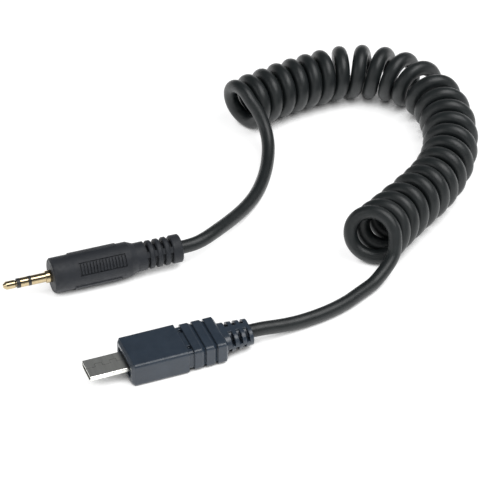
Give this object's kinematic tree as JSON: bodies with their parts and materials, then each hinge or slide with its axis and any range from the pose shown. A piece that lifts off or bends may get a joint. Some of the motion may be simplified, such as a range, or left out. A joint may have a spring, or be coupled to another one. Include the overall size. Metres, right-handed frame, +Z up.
{
  "type": "coiled camera release lead",
  "caption": "Short coiled cord joining a round three-contact plug to a flat latching camera plug, for releasing a shutter.",
  "frame": {"origin": "middle of the flat plug housing's underside, on the plane everything lies on", "axes": "+X from the plugs' contacts towards the cord, +Y from the flat plug towards the round plug, +Z up"},
  "size_m": [0.1391, 0.1024, 0.0155],
  "materials": {
    "cord": "satin black flexible plastic",
    "jack_mould": "satin dark grey moulding",
    "flat_mould": "satin dark navy moulding",
    "gold": "gold plated, polished",
    "black_insulator": "matte black",
    "shell_steel": "plated sheet, satin",
    "spring_steel": "bright spring strip",
    "inner_mould": "natural hard plastic",
    "solder": "bright tin",
    "wire_red": "coloured insulation",
    "wire_white": "white insulation",
    "wire_black": "black insulation"
  },
  "bodies": {
    "plugs_and_cord": {"cord_coil": "cord", "cord_jack_lead": "cord", "cord_flat_lead": "cord", "jack_tip_contact": "gold", "jack_tip_insulator": "black_insulator", "jack_ring_contact": "gold", "jack_ring_insulator": "black_insulator", "jack_sleeve_contact": "gold", "jack_ring_tag": "gold", "jack_washer": "black_insulator", "jack_tip_tag": "gold", "jack_solder": "solder", "jack_wire_tip": "wire_red", "jack_wire_ring": "wire_white", "jack_wire_sleeve": "wire_black", "jack_cord_end": "cord", "jack_inner_mould": "inner_mould", "jack_overmould": "jack_mould", "multipin_shell": "shell_steel", "multipin_insulator": "black_insulator", "multipin_contact_1": "gold", "multipin_contact_2": "gold", "multipin_contact_3": "gold", "multipin_contact_4": "gold", "multipin_contact_5": "gold", "multipin_solder": "solder", "multipin_wire_1": "wire_red", "multipin_wire_2": "wire_white", "multipin_wire_3": "wire_black", "multipin_can": "shell_steel", "multipin_cord_end": "cord", "multipin_inner_mould": "inner_mould", "multipin_overmould": "flat_mould"},
    "latch_right": {"multipin_latch_right": "spring_steel"},
    "latch_left": {"multipin_latch_left": "spring_steel"}
  },
  "joints": [
    {"name": "latch_right_press", "type": "hinge", "parent": "plugs_and_cord", "child": "latch_right", "pos_m": [-0.01241, -0.00215, 0.00283], "axis": [0, 1, 0], "range_deg": [0, 4], "stiffness_Nm_per_rad": 0.1},
    {"name": "latch_left_press", "type": "hinge", "parent": "plugs_and_cord", "child": "latch_left", "pos_m": [-0.01241, 0.00215, 0.00283], "axis": [0, 1, 0], "range_deg": [0, 4], "stiffness_Nm_per_rad": 0.1}
  ]
}
